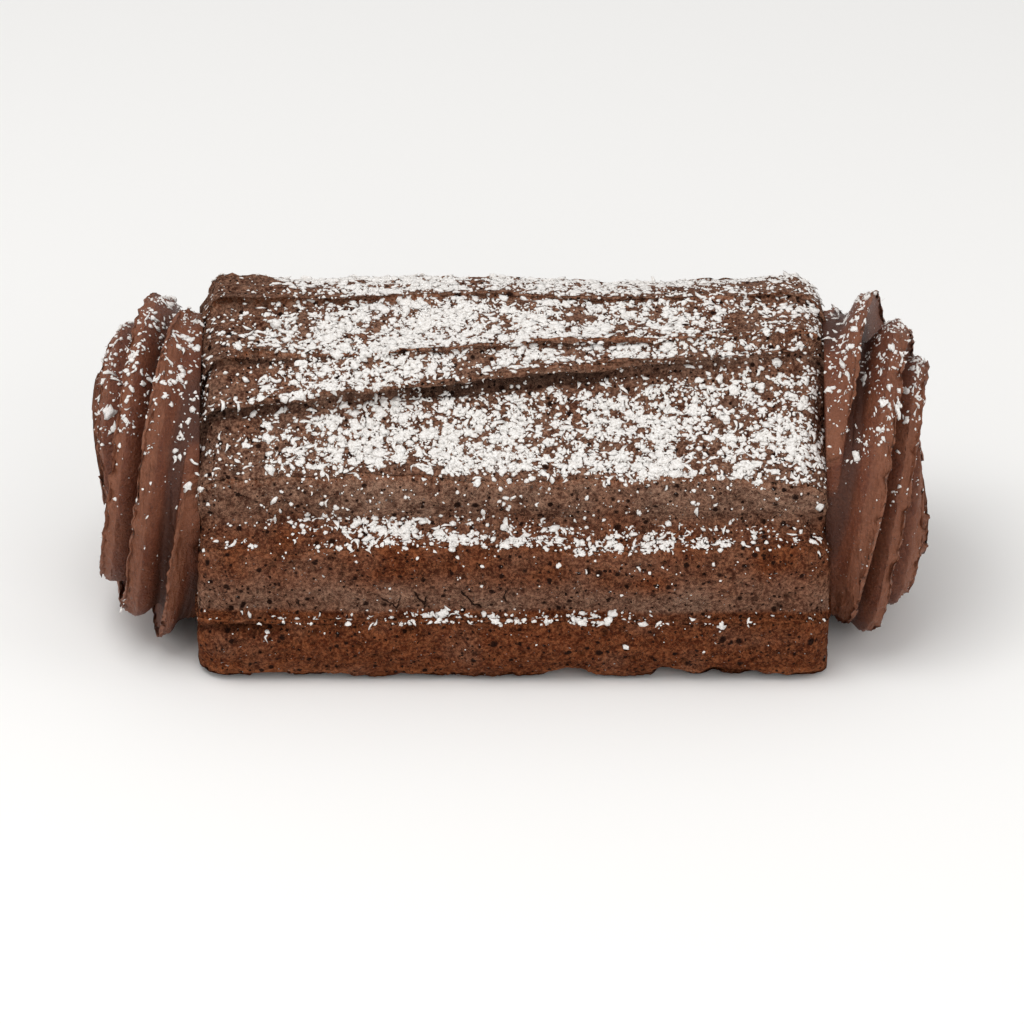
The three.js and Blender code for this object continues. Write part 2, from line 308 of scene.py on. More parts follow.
# The cream's unevenness, in millimetres: swells and dents, long streaks left by the nozzle, crumb, ragged
# edges, the lower of which are worn back, and upright smears where each end was wiped.
NEAR = 1.6  # how far an edge or crease is felt
LOW_EDGE_WEAR, LOW_EDGE_WIDTH = 0.6, 1.2
WIPED_FROM, WIPED_TO = 14, 3  # how far from an end its smears begin, and are full
near_edge = np.exp(-to_edge / NEAR)
near_crease = np.exp(-to_crease / NEAR)
inside_end = HALF_LENGTH - np.abs(x_at) - 4 * lumps(body, 9, at=31)
near_end = smooth_step(WIPED_FROM, WIPED_TO, inside_end)
streaky = 0.2 + 0.6 * smooth_step(66, 74, z_at) * smooth_step(10, -40, x_at)  # most on top, at the left
push = 0.6 * lumps(body, 16) + 0.3 * lumps(body, 6, at=50)
push += streaky * lumps(body, 3, 2, (9, 1, 1), at=90) * (1 - 0.4 * face)
push += (0.14 + 0.12 * face) * lumps(body, 1.9, 3) + 0.3 * face * lumps(body, 4, 2, at=110)
push += near_edge * (0.1 + 0.7 * lumps(body, 3.2, 2, at=20))
push -= LOW_EDGE_WEAR * hump(to_edge, 0, LOW_EDGE_WIDTH) * smooth_step(62, 52, z_at)
push += near_end * 1.2 * lumps(body, 3.4, 2, (1, 4, 4), at=70)

# A tight notch under each upper band, as deep as the band stands clear there. The fifth band does so only
# right of the middle, and the sixth only at its left end.
NOTCH_ALONG = [(-76, 0.8), (-60, 0.8), (-50, 0.3), (-30, 0.4), (-22, 1), (18, 1), (28, 0.4), (58, 0)]
NOTCH_WIDTH, NOTCH_LEAST, NOTCH_DEPTH = 0.9, 0.1, 1.3
fifth = smooth_step(73.5, 75, z_at)
sixth = smooth_step(77.5, 79, z_at) * smooth_step(-16, -34, x_at)
notch = np.interp(x_at, *zip(*NOTCH_ALONG)) * smooth_step(57, 61, z_at) * smooth_step(79, 77.5, z_at)
notch *= (1 - 0.5 * fifth) * (1 - 0.9 * fifth * smooth_step(-12, -22, x_at))
notch = np.maximum(notch, 0.9 * sixth)
push -= hump(to_crease, 0, NOTCH_WIDTH) * (NOTCH_LEAST + NOTCH_DEPTH * notch)

# Pits where air bubbles broke, most of them on the faces and most of them small.
PITS, PITS_LEFT_OUT = 1500, 0.6  # how many are drawn, and the share left out on the ledges
PIT_RADIUS, PIT_RANGE, PIT_DEPTH = 0.5, 0.8, 0.6
PIT_LIP = 1.25  # how far from its middle a pit begins, as a share of its radius
random = np.random.default_rng(11)
pit = np.zeros_like(face)
for row, column in random.integers(0, body.shape[:2], (PITS, 2)):
    if resting[row, 0] or (not face[row, 0] and random.random() < PITS_LEFT_OUT):
        continue
    radius = PIT_RADIUS + PIT_RANGE * random.random() ** 2
    reach = int(radius * 2 / FRONT_STEP) + 1
    near_rows = np.arange(row - reach, row + reach + 1) % body.shape[0]
    near_columns = np.clip(np.arange(column - reach, column + reach + 1), 0, body.shape[1] - 1)
    window = np.ix_(near_rows, near_columns)
    gap = np.linalg.norm(body[window] - body[row, column], axis=2) / radius
    pit[window] = np.maximum(pit[window], np.clip(PIT_LIP - gap, 0, 1) * min(1, radius))
push -= PIT_DEPTH * pit

# The lowest band's edge curls over near the left end, above a hollow.
CURL_AT, CURL_LENGTH, CURL_LIFT, CURL_WIDTH = -66, 12, 1.6, 1.8
UNDER_CURL, UNDER_CURL_WIDTH, UNDER_CURL_DEPTH = 3.6, 1.3, 3.2
curl = hump(x_at, CURL_AT, CURL_LENGTH) * lowest_face
under_curl = curl * hump(to_edge, UNDER_CURL, UNDER_CURL_WIDTH)
push += CURL_LIFT * curl * hump(to_edge, 0, CURL_WIDTH) - UNDER_CURL_DEPTH * under_curl

# The bottom edge is ragged. It tucks in here and there, and stands out as a thin rim in other places.
TUCK_HEIGHT, TUCK_LEAST, TUCK_DEPTH = 2.6, 0.4, 3.2
RAGGED_HEIGHT, RAGGED_DEPTH = 2.2, 0.9
RIM_HEIGHT, RIM_WIDTH, RIM_LIFT = 2.4, 1.2, 0.8
tucked = smooth_step(-0.05, 0.45, lumps(body, 17, 2, at=140))
push -= hump(z_at, 0, TUCK_HEIGHT) * lowest_face * (TUCK_LEAST + TUCK_DEPTH * tucked)
push += np.exp(-z_at / RAGGED_HEIGHT) * face * (z_at > 0) * RAGGED_DEPTH * lumps(body, 3.2, 3, at=160)
rim = hump(z_at, RIM_HEIGHT, RIM_WIDTH) * lowest_face * smooth_step(-0.2, 0.2, lumps(body, 11, at=190))
push += RIM_LIFT * rim

# A second thin smear of cream lies on the ledge of the second band, left of the middle.
SMEAR_AT, SMEAR_LENGTH, SMEAR_LIFT = -46, 13, 1.3
MOST_ON_FACE, MORE_ON_LEDGE = 0.4, 0.3  # how far the unevenness may stand out
smear = hump(x_at, SMEAR_AT, SMEAR_LENGTH, 4) * (band_of == 1) * ledge
raised = SMEAR_LIFT * smear * smooth_step(1, 3.5, to_edge + 1.2 * lumps(body, 5, at=180))
push = np.minimum(push, MOST_ON_FACE + MORE_ON_LEDGE * ledge) + raised
push = np.where(resting, 0, push - SUGAR_ROOM)
body = body + outward(body) * push[..., None]
body[..., 2] = np.where(resting, 0, np.maximum(body[..., 2], 0))
body[:, 0] = body[:, 0].mean(0)
body[:, -1] = body[:, -1].mean(0)
body[..., 0] = np.clip(body[..., 0], -HALF_LENGTH, HALF_LENGTH)

# Icing sugar falls from straight above and from a little to either side of it.
SUGAR_FALL = [Vector((0, 0, 1)), Vector((0.3, -0.5, 1)).normalized(), Vector((-0.3, -0.1, 1)).normalized()]
OVERHEAD = 12 * MM  # cream nearer than this overhead keeps the sugar off
CLEAR_BY = 0.4  # how far off the cream the sky is looked for from
LEAST_FACING, FULL_FACING = 0.25, 0.75  # z of a normal where sugar begins to lie, and where all of it does


def dusting(name, points, fell, ease=0.0):
    """How thick the icing sugar lies, from 0 to 1: as it fell, in patches and clumps, on what faces up with
    open sky above it. The more ease, the steeper the cream that it lies on."""
    normals = outward(points)
    patches = np.clip(0.78 + 1.2 * lumps(points, 7, 3, at=200), 0.1, 1)
    clumps = np.clip(0.85 + 1.5 * lumps(points, 2.4, 2, at=410), 0.12, 1.3)
    facing_up = smooth_step(LEAST_FACING - ease, FULL_FACING - ease, normals[..., 2])
    off_floor = smooth_step(4, 8, points[..., 2])
    bare = sheet_of(name + "_bare", points, {})
    tree = BVHTree.FromObject(bare, bpy.context.evaluated_depsgraph_get())
    bpy.data.objects.remove(bare)
    starts = (points + normals * CLEAR_BY).reshape(-1, 3) * MM
    hits = [[tree.ray_cast(start, lean, OVERHEAD)[0] is not None for lean in SUGAR_FALL] for start in starts]
    open_sky = 1 - np.mean(hits, axis=1).reshape(points.shape[:2])
    return np.clip(fell * patches * clumps * facing_up * off_floor * open_sky, 0, 1)


# Most sugar fell along the log's middle, little at its left end and half as much at its right end, where on
# top it begins to thin nearer the middle.
fell = 0.06 + 0.94 * smooth_step(-72, -30, x_at + 8 * lumps(body, 10, at=7))
nearer = 26 * smooth_step(70, 78, z_at)
fell *= 0.5 + 0.5 * smooth_step(82, 34, x_at + 9 * lumps(body, 12, at=17) + nearer)

# On the two lowest ledges it is thick only near the middle. Under the crevice it is thinner, most of all 3 cm
# right of the middle, and above the crevice it is thicker, left of the middle.
under_crevice = smooth_step(60, 68, z_at) * smooth_step(75, 73, z_at)
fell *= np.where(band_of == 0, 0.4 + 1.2 * hump(x_at, 7, 23, 4), 1)
fell *= np.where(band_of == 1, 0.25 + 0.75 * hump(x_at, -6, 38), 1)
fell *= 1 - under_crevice * (0.25 + 0.35 * hump(x_at, 32, 14))
fell *= 1 + 0.8 * smooth_step(73, 75, z_at) * hump(x_at, -24, 22)
THINNED = [  # where else it is thinner, and by what share
    (smooth_step(-46, -60, x_at) * smooth_step(76, 79, z_at), 0.85),  # the top's left end
    (smooth_step(24, 50, x_at) * smooth_step(75, 78, z_at), 0.35),  # the top's right end
    (smooth_step(3, 9, y_at) * smooth_step(22, 18, y_at), 0.5),  # over the top
    (smear * hump(to_edge, 3, 2.1), 0.85),  # the edge of the smear
]
for mask, share in THINNED:
    fell *= 1 - share * mask

# Creases are sheltered, and sugar fell off the upper bands' edges and left them frayed, less so at the right.
# Towards the left end it spilled over these edges instead, caught along them and lies heaped below them.
upper = smooth_step(57, 64, z_at)
sheltered = hump(to_crease, 0, 3.2) * (1 - fifth)
sheltered *= np.maximum(smooth_step(-30, 10, x_at), 0.4 * smooth_step(60, 54, z_at))
sheltered = np.maximum(sheltered, sixth * hump(to_crease, 0, 2))
frayed = smooth_step(4, 1.6, to_edge + 1.8 * lumps(body, 4, 2, at=230)) * smooth_step(44, 52, z_at)
frayed *= 1 - 0.9 * smooth_step(15, 35, x_at)
over_edge = smooth_step(-18, -28, x_at) * upper * (1 - sixth)
fell *= (1 - 0.8 * sheltered) * (1 - 0.85 * frayed * (1 - over_edge))
fell = np.maximum(fell, 0.4 * over_edge * hump(to_edge, 0.6, 0.6))
fell *= 1 + 0.5 * hump(x_at, -36, 16) * under_crevice
dust = dusting("coat", body, fell, 0.6 * over_edge)
dust = np.maximum(dust, 0.012 * face * smooth_step(40, 46, z_at))  # a few specks stuck to the upper faces

# The lowest band is a warm brown; higher up the cream is paler and greyer, and so is the foot of the
# second band. The ledges are darkened as painted shade, and the upper left end is darker. The creases high
# up, and the hollow under the curl, are painted near black as their shade. The bands' edges and the bottom
# rim get a painted highlight. Only the second band's face has cracked.
tone = 0.15 * smooth_step(18, 23, z_at) + 0.75 * smooth_step(38, 46, z_at)
tone += 0.65 * (band_of == 1) * face * smooth_step(6, 18, to_edge + 5 * lumps(body, 16, at=320))
tone = np.clip(tone + 0.35 * lumps(body, 11, 2, at=300), 0, 1) * (0.8 + 0.2 * face)
features = {
    "tone": tone,
    # Painted highlight along the bands' edges and on the bottom rim.
    "edge": np.maximum(near_edge * face, 0.8 * rim),
    # Painted shade on the ledges, and a darker upper left end.
    "ledge_shade_and_darker_end": np.maximum(0.75 * ledge, smooth_step(-30, -56, x_at) * smooth_step(40, 48, z_at)),
    # Painted shade in the creases high up and in the hollow under the curl.
    "deep": np.maximum(near_crease * upper * (0.3 * (1 - fifth) + 0.7 * notch), under_curl),
    "pit": pit,
    "cracked": face * (band_of == 1) * smooth_step(3, 8, to_edge) * smooth_step(30, 0, x_at),
}
coat = sheet_of("cream_coat", body, features | {"dust": dust})
close_up(coat)


def linear(hex_colour):
    """An sRGB colour such as "#6b4a36" as linear RGBA."""
    parts = [int(hex_colour[i : i + 2], 16) / 255 for i in (1, 3, 5)]
    return (*[c / 12.92 if c < 0.04045 else ((c + 0.055) / 1.055) ** 2.4 for c in parts], 1)


def add(tree, kind, inputs=None, **settings):
    """A new node with its settings. Each input, given by its name or by its number, takes a value, a socket,
    or a node, which stands for that node's first socket in use."""
    made = tree.nodes.new("ShaderNode" + kind)
    for name, value in settings.items():
        setattr(made, name, value)
    in_use = [socket for socket in made.inputs if socket.enabled]
    for key, value in (inputs or {}).items():
        socket = in_use[key] if isinstance(key, int) else next(s for s in in_use if s.name == key)
        if isinstance(value, bpy.types.Node):
            value = next(s for s in value.outputs if s.enabled)
        if isinstance(value, bpy.types.NodeSocket):
            tree.links.new(value, socket)
        else:
            socket.default_value = value
    return made


def new_material(name):
    """A material with an empty node tree, that tree, and the place of each point on the piece."""
    material = bpy.data.materials.new(name)
    material.use_nodes = True
    tree = material.node_tree
    tree.nodes.clear()
    return material, tree, add(tree, "TexCoord").outputs["Object"]


def lumps_of(size_mm):
    """The scale of a pattern whose lumps or cells are of a size in millimetres."""
    return 1 / (size_mm * MM)


# Whipped chocolate buttercream, spread and set: matt and porous. A warm mid brown low down, paler and greyer
# above, with a thin orange-brown painted highlight along each band's edge, and painted near-black shade in
# its pores, cracks and creases.
BROWN_LOW, BROWN_HIGH, EDGE_HIGHLIGHT_BROWN = "#652f16", "#906b58", "#a8643e"
CRUMB_LOW, CRUMB_HIGH = "#a5633e", "#be967e"
BROWN_DARK, PAINTED_SHADE_BROWN = "#361304", "#200a03"
SUGAR_WHITE = "#e9e5e1"
set_cream, tree, where = new_material("set_whipped_buttercream")
stored = {key: add(tree, "Attribute", attribute_name=key).outputs["Fac"] for key in (*features, "dust")}


def between(low, high, to=1.0):
    """Settings of a range that rises from 0 at low to its full value at high."""
    return {"From Min": low, "From Max": high, "To Max": to}


def tinted(tree, colour, tints):
    """A colour tinted by each of some patterns in turn. Each is given as its value, the values from which the
    tint begins and at which it is full, the tint, and the share of it that is then mixed in."""
    for value, begins, full, tint, share in tints:
        reach = add(tree, "MapRange", {"Value": value} | between(begins, full, share))
        colour = add(tree, "Mix", {"Factor": reach, "A": colour, "B": tint}, data_type="RGBA")
    return colour


def warped(tree, where, size_mm, by_mm):
    """Places shifted unevenly, so that a regular pattern there turns irregular."""
    waves = add(tree, "TexNoise", {"Vector": where, "Scale": lumps_of(size_mm), "Detail": 2.0})
    shift = add(tree, "VectorMath", {0: waves.outputs["Color"], "Scale": by_mm * MM}, operation="SCALE")
    return add(tree, "VectorMath", {0: where, 1: shift}, operation="ADD")


def powdered(tree, where, colour, dust):
    """A colour with a thin broken film of icing sugar over it, and the film's share at each point."""
    moved = warped(tree, where, 1.6, 2.0)
    flakes = add(tree, "TexVoronoi", {"Vector": moved, "Scale": lumps_of(1.1)})
    grain = add(tree, "TexNoise", {"Vector": moved, "Scale": lumps_of(0.9), "Detail": 3.0, "Roughness": 0.6})
    height = add(tree, "Math", {0: flakes, 1: -0.4, 2: grain}, operation="MULTIPLY_ADD")
    level = add(tree, "MapRange", {"Value": dust, "To Min": 0.56, "To Max": 0.38})
    above = add(tree, "Math", {0: height, 1: level}, operation="SUBTRACT")
    film = add(tree, "MapRange", {"Value": above} | between(-0.01, 0.05))
    return add(tree, "Mix", {"Factor": film, "A": colour, "B": linear(SUGAR_WHITE)}, data_type="RGBA"), film


broad = add(tree, "TexNoise", {"Vector": where, "Scale": lumps_of(6), "Detail": 3.0})
crumb = add(tree, "TexNoise", {"Vector": where, "Scale": lumps_of(1.7), "Detail": 5.0, "Roughness": 0.7})
grit = add(tree, "TexNoise", {"Vector": where, "Scale": lumps_of(0.7), "Detail": 2.0})

# Thin raised wrinkles, curling every way, where the whipped cream was dragged. They are raised by the bump
# and painted lighter as a highlight.
bent = add(tree, "TexNoise", {"Vector": where, "Scale": lumps_of(2.4), "Detail": 2.0})
off_line = add(tree, "Math", {0: bent, 1: 0.5}, operation="SUBTRACT")
off_line = add(tree, "Math", {0: off_line}, operation="ABSOLUTE")
wrinkle_and_highlight = add(tree, "MapRange", {"Value": off_line} | between(0.026, 0.0))

# Broad patches, the painted shade on the ledges and the darker upper left end first, then the painted
# highlight on the bands' edges, the crumb and grit, the painted shade in the creases, and the painted
# highlight on the wrinkles.
dark, deepest = linear(BROWN_DARK), linear(PAINTED_SHADE_BROWN)
lighter = tinted(tree, linear(CRUMB_LOW), [(stored["tone"], 0, 1, linear(CRUMB_HIGH), 1.0)])
tints = [
    (stored["tone"], 0, 1, linear(BROWN_HIGH), 1.0),
    (broad, 0.52, 0.36, dark, 0.5),
    # Painted shade on the ledges, and the darker upper left end.
    (stored["ledge_shade_and_darker_end"], 0, 1, dark, 0.4),
    # Painted highlight on the bands' edges.
    (stored["edge"], 0.1, 0.7, linear(EDGE_HIGHLIGHT_BROWN), 0.6),
    (crumb, 0.46, 0.64, lighter, 0.6),
    (crumb, 0.48, 0.36, dark, 0.5),
    (grit, 0.5, 0.66, lighter, 0.6),
    (grit, 0.46, 0.34, dark, 0.5),
    # Painted shade in the creases.
    (stored["deep"], 0.3, 0.9, deepest, 0.7),
    # Painted highlight on the wrinkles.
    (wrinkle_and_highlight, 0.2, 1, lighter, 0.55),
]
colour = tinted(tree, linear(BROWN_LOW), tints)

# Pores at three scales, each of its own width and none quite round, painted near black as the shade
# inside them.
uneven = warped(tree, where, 0.5, 0.6)
# The pits in the cream are painted dark with the pores, as the shade inside them.
holes = add(tree, "MapRange", {"Value": stored["pit"]} | between(0.3, 0.9, 0.5))
for apart, widest in ((1.3, 0.36), (2.3, 0.34), (4.2, 0.27)):
    cells = add(tree, "TexVoronoi", {"Vector": uneven, "Scale": lumps_of(apart)})
    own = add(tree, "SeparateColor", {"Color": cells.outputs["Color"]})
    width = add(tree, "MapRange", {"Value": own, "From Min": 0.3, "To Min": 0.0, "To Max": widest})
    inside = add(tree, "Math", {0: width, 1: cells}, operation="SUBTRACT")
    pore = add(tree, "MapRange", {"Value": inside} | between(0.0, 0.1))
    holes = add(tree, "Math", {0: holes, 1: pore}, operation="MAXIMUM")

# A few near-upright hairline cracks, where the set cream pulled apart, painted dark as the shade in them.
narrowed = add(tree, "VectorMath", {0: warped(tree, where, 4, 4), 1: (1.7, 0.6, 0.6)}, operation="MULTIPLY")
seam = add(tree, "TexVoronoi", {"Vector": narrowed, "Scale": lumps_of(13)}, feature="DISTANCE_TO_EDGE")
line = add(tree, "MapRange", {"Value": seam} | between(0.024, 0.008))
some = add(tree, "TexNoise", {"Vector": where, "Scale": lumps_of(8), "Detail": 1.0})
shown = add(tree, "MapRange", {"Value": some} | between(0.52, 0.57))
crack = add(tree, "Math", {0: line, 1: shown}, operation="MULTIPLY")
crack = add(tree, "Math", {0: crack, 1: stored["cracked"]}, operation="MULTIPLY")
holes = add(tree, "Math", {0: holes, 1: crack}, operation="MAXIMUM")
# Painted shade: the pores, pits and cracks are darkened to near black.
colour = tinted(tree, colour, [(holes, 0, 1, deepest, 0.95)])
colour, film = powdered(tree, where, colour, stored["dust"])

relief = grit
for pattern, weight in ((crumb, 3.0), (wrinkle_and_highlight, 1.1), (holes, -1.6), (film, 0.5)):
    relief = add(tree, "Math", {0: pattern, 1: weight, 2: relief}, operation="MULTIPLY_ADD")
bump = add(tree, "Bump", {"Height": relief, "Distance": 0.75 * MM, "Strength": 1.0})
roughness = add(tree, "MapRange", {"Value": film, "To Min": 0.85, "To Max": 0.95})
surface = {"Base Color": colour, "Roughness": roughness, "Normal": bump, "IOR": 1.45}
surface["Specular IOR Level"] = 0.1  # open pores scatter most of what it would mirror
add(tree, "OutputMaterial", {"Surface": add(tree, "BsdfPrincipled", surface)})
coat.data.materials.append(set_cream)
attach(coat, "root")
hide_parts("roll")

# ---- Rosettes -----------------------------------------------------------------------------------------
# A rosette of the same cream on each end, piped fresh through a star nozzle: the ridged rope goes round
# and inwards, clockwise as seen from outside, so thin petals nest round a small curled bud.
JOIN_GAP = 0.3  # from the log's end to the back of a rosette's rim
ROSETTE_DEPTH, ROSETTE_RADIUS, ROSETTE_HEIGHT = 27.0, 38.5, 39.0
RIDGE_ENDS = (1, 0.8, 0.92, 0.74)  # where each ridge dies away, as a share of the way to the middle
RIDGE_FADE = (-0.06, 0.2)  # how far short of its end a ridge is gone, and begins to sink
RIDGES = len(RIDGE_ENDS)
RIDGE_TURN, MIDDLE_CURL = math.radians(350), math.radians(140)
RIDGE_HEIGHT, RIDGE_LEAN = 12.5, 3.2
RIDGE_STRAY, STRAY_PACE, RIDGE_CHANGE, RIDGE_FLOOR = 0.12, 2.4, 0.2, 0.45
RIDGE_START, RIM_END = 0.24, 0.11
PETAL_SHARE, PETAL_DIP, WALL_CURVE, GROOVE = 0.55, 0.2, 0.8, (0.64, 0.84)
ROUNDNESS, RIM_TUCK, LEAST_RADIUS = 0.78, 3.5, 0.3
BUD_HEIGHT, BUD_WIDTH = 3.0, 0.13
HOLLOW_DEPTH, HOLLOW_PLACE, HOLLOW_REACH = 3.5, 0.3, 0.14  # round the bud
SWIRL_OFFSET = (3.0, -3.5)
LOWER_FULLNESS, LIP_CALM = 0.12, 0.7  # below the middle it is fuller, and calmer towards its rim
ROSETTES = [
    dict(name="rosette_left", side=-1, track=40, turned=0.5),
    dict(name="rosette_right", side=1, track=60, turned=2.6),
]
RINGS, POINTS_A_RIDGE = 210, 54
BUNCHED = [(0, 0), (0.14, 0.06), (0.5, 0.5), (0.8, 0.86), (1, 1)]  # points lie closer near a thin edge
SUNK = 2.0  # how far the back of a rosette was pressed into the soft coat
ROSETTE_ROOM = 0.7  # the cream lies this much inside the solid, to leave room for its ragged edges
ROSETTE_SUGAR = 0.4


def ridge_shape(w):
    """How high a ridge stands at w, from 0 at its own edge out to 1 at the next."""
    out = np.minimum(1, w / GROOVE[0])
    petal = (1 - PETAL_DIP * out) * (1 - smooth_step(PETAL_SHARE, 1, out))
    wall = (np.maximum(w - GROOVE[1], 0) / (1 - GROOVE[1])) ** WALL_CURVE
    return petal + wall


def stray(i, track):
    """How far ridge number i has strayed from an even spacing."""
    return RIDGE_STRAY * np.sin(track + (i % RIDGES) * STRAY_PACE)


def ridge_height(number, t, track):
    """The height of a ridge at each t: it rises from the rim, wavers and dies away."""
    left = smooth_step(*RIDGE_FADE, RIDGE_ENDS[number] - t)
    change = 1 + RIDGE_CHANGE * ripple(t * ROSETTE_RADIUS, track + number)
    return RIDGE_HEIGHT * np.minimum(1, t / RIDGE_START) * left * change


def rosette_points(t, track, turned):
    """A grid of points in the rosette's own frame, +Z outwards, with one column round it for each t, from 0
    at the back of its rim to 1 in its middle. Also how near each point is to a ridge's edge, and its place
    across the ridges."""
    shares = np.linspace(0, 1, POINTS_A_RIDGE, endpoint=False)
    w = np.tile(np.interp(shares, *zip(*BUNCHED)), RIDGES)[:, None]
    ridge = np.repeat(np.arange(RIDGES), POINTS_A_RIDGE)[:, None]
    rise = math.pi / 2 * t
    radius = ROSETTE_RADIUS * np.cos(rise) ** ROUNDNESS - RIM_TUCK * np.maximum(0, 1 - t / RIM_END)
    from_middle = radius / ROSETTE_RADIUS
    bud = BUD_HEIGHT * hump(from_middle, 0, BUD_WIDTH)
    bud -= HOLLOW_DEPTH * hump(from_middle, HOLLOW_PLACE, HOLLOW_REACH)
    depth = (ROSETTE_DEPTH - RIDGE_HEIGHT * (1 - RIDGE_FLOOR)) * np.sin(rise) ** ROUNDNESS
    depth += bud * np.sin(rise)
    heights = np.concatenate([ridge_height(i, t, track) for i in range(RIDGES)])
    own = (ridge + (w >= GROOVE[1])) % RIDGES
    place = ridge + w + stray(ridge, track) * (1 - w) + stray(ridge + 1, track) * w
    turn = turned - 2 * math.pi * place / RIDGES - RIDGE_TURN * t - MIDDLE_CURL * t**6
    lip = LIP_CALM * np.maximum(0, -np.sin(turn)) ** 2 * (1 - t) ** 2
    crest = ridge_shape(w)
    out = heights[own[:, 0]] * (1 - lip) * (crest - RIDGE_FLOOR)
    lean = -RIDGE_LEAN * crest**2 * np.sin(2 * rise)
    corner = np.where(np.sin(turn) < 0, LOWER_FULLNESS * np.sin(2 * turn) ** 2, 0)
    r = np.maximum(LEAST_RADIUS, (radius + out * np.cos(rise) + lean) * (1 + corner))
    x = SWIRL_OFFSET[0] * t + r * np.cos(turn)
    y = SWIRL_OFFSET[1] * t + r * np.sin(turn)
    return np.stack((x, y, depth + out * np.sin(rise)), -1), crest + 0 * x, place + 0 * x


def roughened(local, crest, track):
    """A rosette's points made softly uneven, and ragged along the thin edges of its petals."""
    ragged = crest**6 * (1.0 * lumps(local, 2.6, 2, at=track) + 0.5 * lumps(local, 1.1, 2, at=15))
    soft = 0.35 * lumps(local, 8, at=31) + 0.12 * lumps(local, 1.3, 3, at=77)
    return local + outward(local) * (ragged + soft - ROSETTE_ROOM)[..., None]


def flattened(local):
    """A rosette's points kept above the floor, with a flat back that is sunk into the coat, and with a pole
    at each end to close the sheet."""
    local[..., 1] = np.maximum(local[..., 1], -ROSETTE_HEIGHT)
    local[:, 0, 2] = -SUNK
    local[..., 2] = np.maximum(local[..., 2], -SUNK)
    back_pole = local[:, :1] * (0, 0, 1)
    front_pole = np.broadcast_to(local[:, -1:].mean(0, keepdims=True), back_pole.shape)
    return np.concatenate((back_pole, local, front_pole), 1)


def on_end(local, side):
    """A rosette's points placed on the log's left end, where side is -1, or its right end, where it is 1."""
    outwards, upright = Vector((side, 0, 0)), Vector((0, 0, 1))
    axes = np.array((upright.cross(outwards), upright, outwards))
    return local @ axes + (side * (HALF_LENGTH + JOIN_GAP), 0, ROSETTE_HEIGHT)


# Fresh piped buttercream: denser and smoother than the set coat, a redder brown with a soft satin gloss,
# finely grained, with a painted highlight along the thin edges of its petals and painted shade in the
# grooves between them.
PIPED_BROWN, PIPED_DARK, PIPED_PALE_AND_HIGHLIGHT = "#68331b", "#351608", "#8d573b"
LINES_A_RIDGE = 9.0
piped_cream, tree, where = new_material("fresh_piped_buttercream")
grit = add(tree, "TexNoise", {"Vector": where, "Scale": lumps_of(0.8), "Detail": 4.0, "Roughness": 0.7})
patchy = add(tree, "TexNoise", {"Vector": where, "Scale": lumps_of(7), "Detail": 2.0})
keys = ("edge", "across", "dust")
stored = {key: add(tree, "Attribute", attribute_name=key).outputs["Fac"] for key in keys}
dark, pale = linear(PIPED_DARK), linear(PIPED_PALE_AND_HIGHLIGHT)
tints = [
    (patchy, 0.4, 0.7, pale, 0.35),
    (grit, 0.5, 0.32, dark, 0.5),
    (grit, 0.54, 0.7, pale, 0.5),
    # Painted highlight along the petals' thin edges, and painted shade low in the grooves between them.
    (stored["edge"], 0.8, 1, pale, 0.65),
    (stored["edge"], 0.3, 0, dark, 0.7),
]
colour = tinted(tree, linear(PIPED_BROWN), tints)
colour, film = powdered(tree, where, colour, stored["dust"])
# Faint lines drawn along the rope by the nozzle's teeth.
drawn = add(tree, "Math", {0: stored["across"], 1: LINES_A_RIDGE}, operation="MULTIPLY")
drawn = add(tree, "CombineXYZ", {"X": drawn})
drawn = add(tree, "TexNoise", {"Vector": drawn, "Scale": 1.0, "Detail": 3.0})
relief = grit
for pattern, weight in ((drawn, 0.5), (film, 0.8)):
    relief = add(tree, "Math", {0: pattern, 1: weight, 2: relief}, operation="MULTIPLY_ADD")
bump = add(tree, "Bump", {"Height": relief, "Distance": 0.6 * MM, "Strength": 1.0})
roughness = add(tree, "MapRange", {"Value": film, "To Min": 0.5, "To Max": 0.95})
surface = {"Base Color": colour, "Roughness": roughness, "IOR": 1.46, "Normal": bump}
add(tree, "OutputMaterial", {"Surface": add(tree, "BsdfPrincipled", surface)})

ring_at = np.linspace(0, 1 - 1 / RINGS, RINGS)[None, :]
rosettes = []
for spec in ROSETTES:
    local, crest, place = rosette_points(ring_at, spec["track"], spec["turned"])
    placed = on_end(flattened(roughened(local, crest, spec["track"])), spec["side"])
    # edge holds how high each point stands on its ridge; the material paints highlight and shade from it.
    features = {"edge": np.pad(crest, ((0, 0), (1, 1))), "across": np.pad(place, ((0, 0), (1, 1)), "edge")}
    features["dust"] = dusting(spec["name"], placed, ROSETTE_SUGAR)
    rosette = sheet_of(spec["name"] + "_cream", placed, features)
    close_up(rosette)
    rosette.data.materials.append(piped_cream)
    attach(rosette, "root")
    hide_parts(spec["name"])
    rosettes.append(rosette)

# ---- Icing sugar --------------------------------------------------------------------------------------
# Icing sugar shaken on from above through a coarse sieve: damp powder that falls as angular crumbs, with
# finer grains between them. It lies where the cream faces up and runs together where it fell thickest.
ON_A_ROSETTE = 0.04  # share of the sugar that lies on each rosette
STEEPEST = -0.3  # z of the normal of the steepest cream that a stray one sticks to
NO_STRAYS, ALL_STRAYS = 6 * MM, 50 * MM  # heights
LUMPINESS, SHALLOWEST, CURLINESS = 2.4, 0.3, 0.7  # of a crumb
STRETCH = (0.75, 1.4)  # of a crumb, along and across it
TO_LEVEL = 0.5  # how much a crumb leans from the slope that it lies on towards level
MOSTLY_SMALL = 1.8
random = np.random.default_rng(23)


